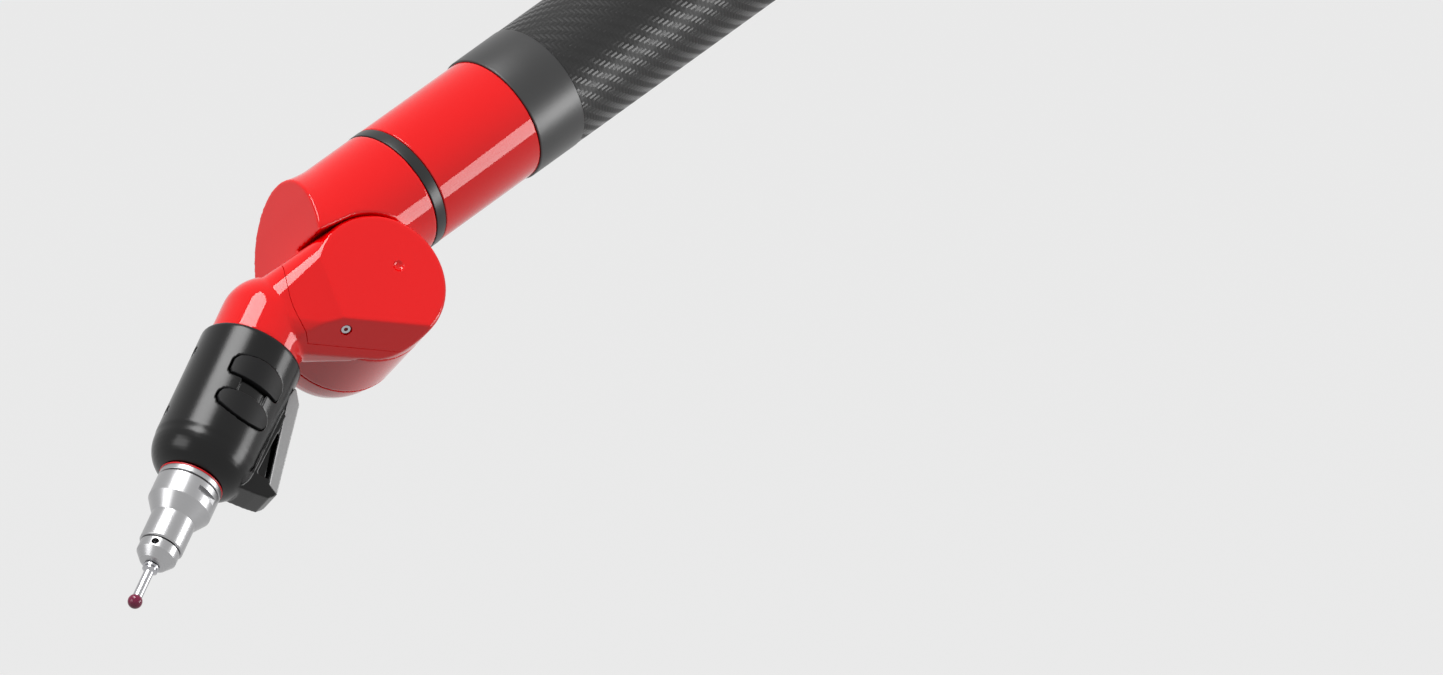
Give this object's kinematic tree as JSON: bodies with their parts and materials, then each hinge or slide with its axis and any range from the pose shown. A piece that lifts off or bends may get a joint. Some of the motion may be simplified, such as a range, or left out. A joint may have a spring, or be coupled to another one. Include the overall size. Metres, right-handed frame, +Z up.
{
  "type": "portable measuring arm",
  "caption": "Jointed portable measuring arm on a bolt-down base, with carbon-fibre links, red offset-hinge joints and a hand-held touch probe with a ruby ball.",
  "frame": {"origin": "centre of the mounting face under the base", "axes": "+Z up along the first swivel axis; the upper arm points towards -X at rest"},
  "size_m": [1.0887, 0.15, 0.5919],
  "materials": {
    "red_lacquer": "high-gloss red lacquer",
    "grey_anodised": "dark grey anodised, satin",
    "carbon_tube": "clear-coated carbon-fibre twill",
    "black_coat": "fine black powder coat",
    "black_ring": "satin black",
    "black_handle": "satin black moulding",
    "black_key": "semi-matt black",
    "machined_aluminium": "fine turned aluminium",
    "steel": "ground steel",
    "encoder_glass": "coated glass disc",
    "board": "solder mask",
    "red_plug": "dark red",
    "red_seal": "thin red seal",
    "ruby": "polished ruby"
  },
  "bodies": {
    "base": {"mounting_flange": "machined_aluminium", "base_housing": "black_coat", "base_shell": "red_lacquer", "connector_panel": "black_coat", "azimuth_bearings": "steel"},
    "turret": {"turret_fork": "red_lacquer", "turret_ring": "black_ring", "azimuth_shaft": "steel", "azimuth_encoder": "encoder_glass", "shoulder_bearings": "steel", "shoulder_rear_cover": "red_lacquer", "counterbalance_spring": "steel"},
    "upper_arm": {"shoulder_knuckle": "red_lacquer", "shoulder_cover": "red_lacquer", "shoulder_shaft": "steel", "shoulder_encoder": "encoder_glass", "upper_collar_rear": "grey_anodised", "upper_tube": "carbon_tube", "upper_collar_front": "grey_anodised", "upper_roll_housing": "red_lacquer", "upper_roll_bearings": "steel"},
    "elbow": {"elbow_fork": "red_lacquer", "elbow_ring": "black_ring", "elbow_roll_shaft": "steel", "elbow_roll_encoder": "encoder_glass", "elbow_bearings": "steel", "elbow_rear_cover": "red_lacquer"},
    "forearm": {"elbow_knuckle": "red_lacquer", "elbow_cover": "red_lacquer", "elbow_shaft": "steel", "elbow_encoder": "encoder_glass", "forearm_collar_rear": "grey_anodised", "forearm_tube": "carbon_tube", "forearm_collar_front": "grey_anodised", "forearm_roll_housing": "red_lacquer", "forearm_roll_bearings": "steel"},
    "wrist": {"wrist_fork": "red_lacquer", "wrist_ring": "black_ring", "wrist_roll_shaft": "steel", "wrist_roll_encoder": "encoder_glass", "wrist_bearings": "steel", "wrist_rear_cover": "red_lacquer"},
    "handle": {"wrist_knuckle": "red_lacquer", "wrist_cover": "red_lacquer", "wrist_shaft": "steel", "wrist_encoder": "encoder_glass", "cover_screws": "red_plug", "handle_shell": "black_handle", "handle_screws": "steel", "dock_plate": "machined_aluminium", "key_board": "board", "probe_seal": "red_seal", "probe_collar": "machined_aluminium", "probe_body": "machined_aluminium", "stylus_holder": "machined_aluminium", "stylus": "steel", "ruby_ball": "ruby"},
    "rear_button": {"rear_key": "black_key"},
    "front_button": {"front_key": "black_key"}
  },
  "joints": [
    {"name": "azimuth_turn", "type": "hinge", "parent": "base", "child": "turret", "pos_m": [0, 0, 0.18], "axis": [0, 0, 1], "continuous": true},
    {"name": "shoulder_bend", "type": "hinge", "parent": "turret", "child": "upper_arm", "pos_m": [-0.0424, 0, 0.3], "axis": [0, -1, 0], "range_deg": [-37, 55]},
    {"name": "upper_arm_roll", "type": "hinge", "parent": "upper_arm", "child": "elbow", "pos_m": [-0.36275, 0, 0.53714], "axis": [-0.866, 0, 0.5], "continuous": true},
    {"name": "elbow_bend", "type": "hinge", "parent": "elbow", "child": "forearm", "pos_m": [-0.42647, 0, 0.53477], "axis": [0, 1, 0], "range_deg": [-78, 24]},
    {"name": "forearm_roll", "type": "hinge", "parent": "forearm", "child": "wrist", "pos_m": [-0.82626, 0, 0.45035], "axis": [-0.9563, 0, -0.2924], "continuous": true},
    {"name": "wrist_bend", "type": "hinge", "parent": "wrist", "child": "handle", "pos_m": [-0.86097, -0.0184, 0.41682], "axis": [-0.1879, -0.766, 0.6147], "range_deg": [-2, 100]},
    {"name": "rear_key_press", "type": "slide", "parent": "handle", "child": "rear_button", "axis": [0.0961, 0.8437, -0.5281], "range_m": [0, 0.0008], "stiffness_N_per_m": 2000},
    {"name": "front_key_press", "type": "slide", "parent": "handle", "child": "front_button", "axis": [0.0961, 0.8437, -0.5281], "range_m": [0, 0.0008], "stiffness_N_per_m": 2000}
  ]
}
